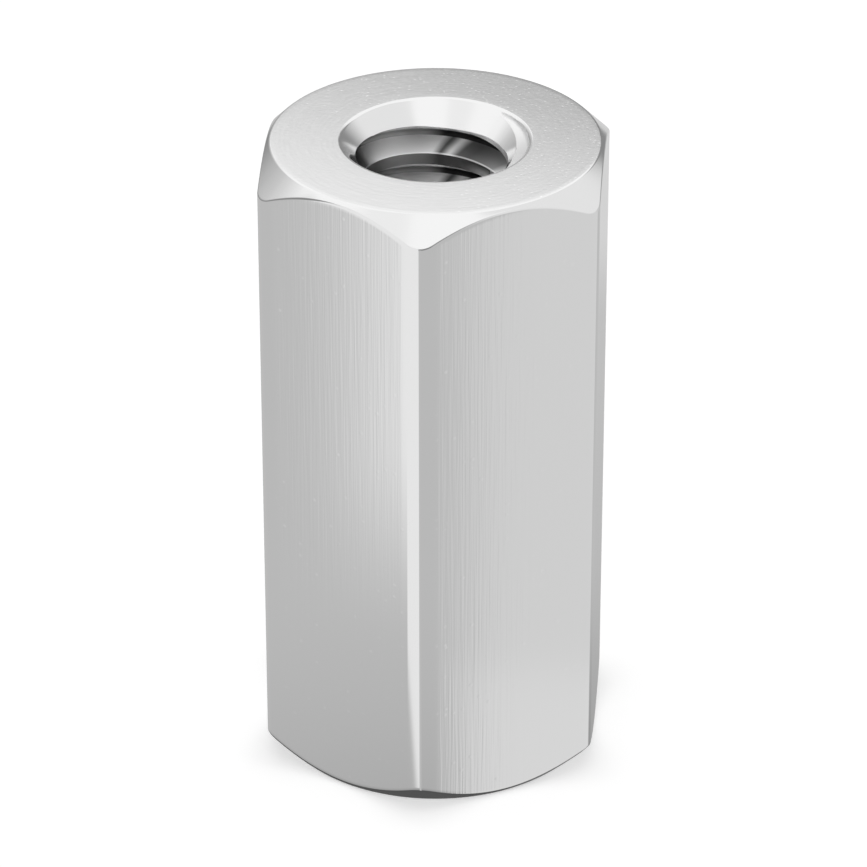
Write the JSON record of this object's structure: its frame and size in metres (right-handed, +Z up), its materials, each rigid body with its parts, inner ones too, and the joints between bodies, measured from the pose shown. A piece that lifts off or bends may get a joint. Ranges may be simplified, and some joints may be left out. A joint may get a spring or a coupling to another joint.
{
  "type": "hexagonal threaded standoff",
  "caption": "Aluminium hexagonal standoff with a threaded bore right through, countersunk and chamfered at both ends.",
  "frame": {"origin": "centre of the lower end face, on the bore's axis", "axes": "+Z up the bore's axis to the upper end face; -Y towards one of the bar's long corners, so +X and -X are normal to a pair of flats"},
  "size_m": [0.0064, 0.0072, 0.0127],
  "materials": {
    "drawn_aluminium": "satin: flats with fine lines along the bar, turned ends with fine rings"
  },
  "bodies": {
    "root": {"hex_body": "drawn_aluminium"}
  },
  "joints": []
}
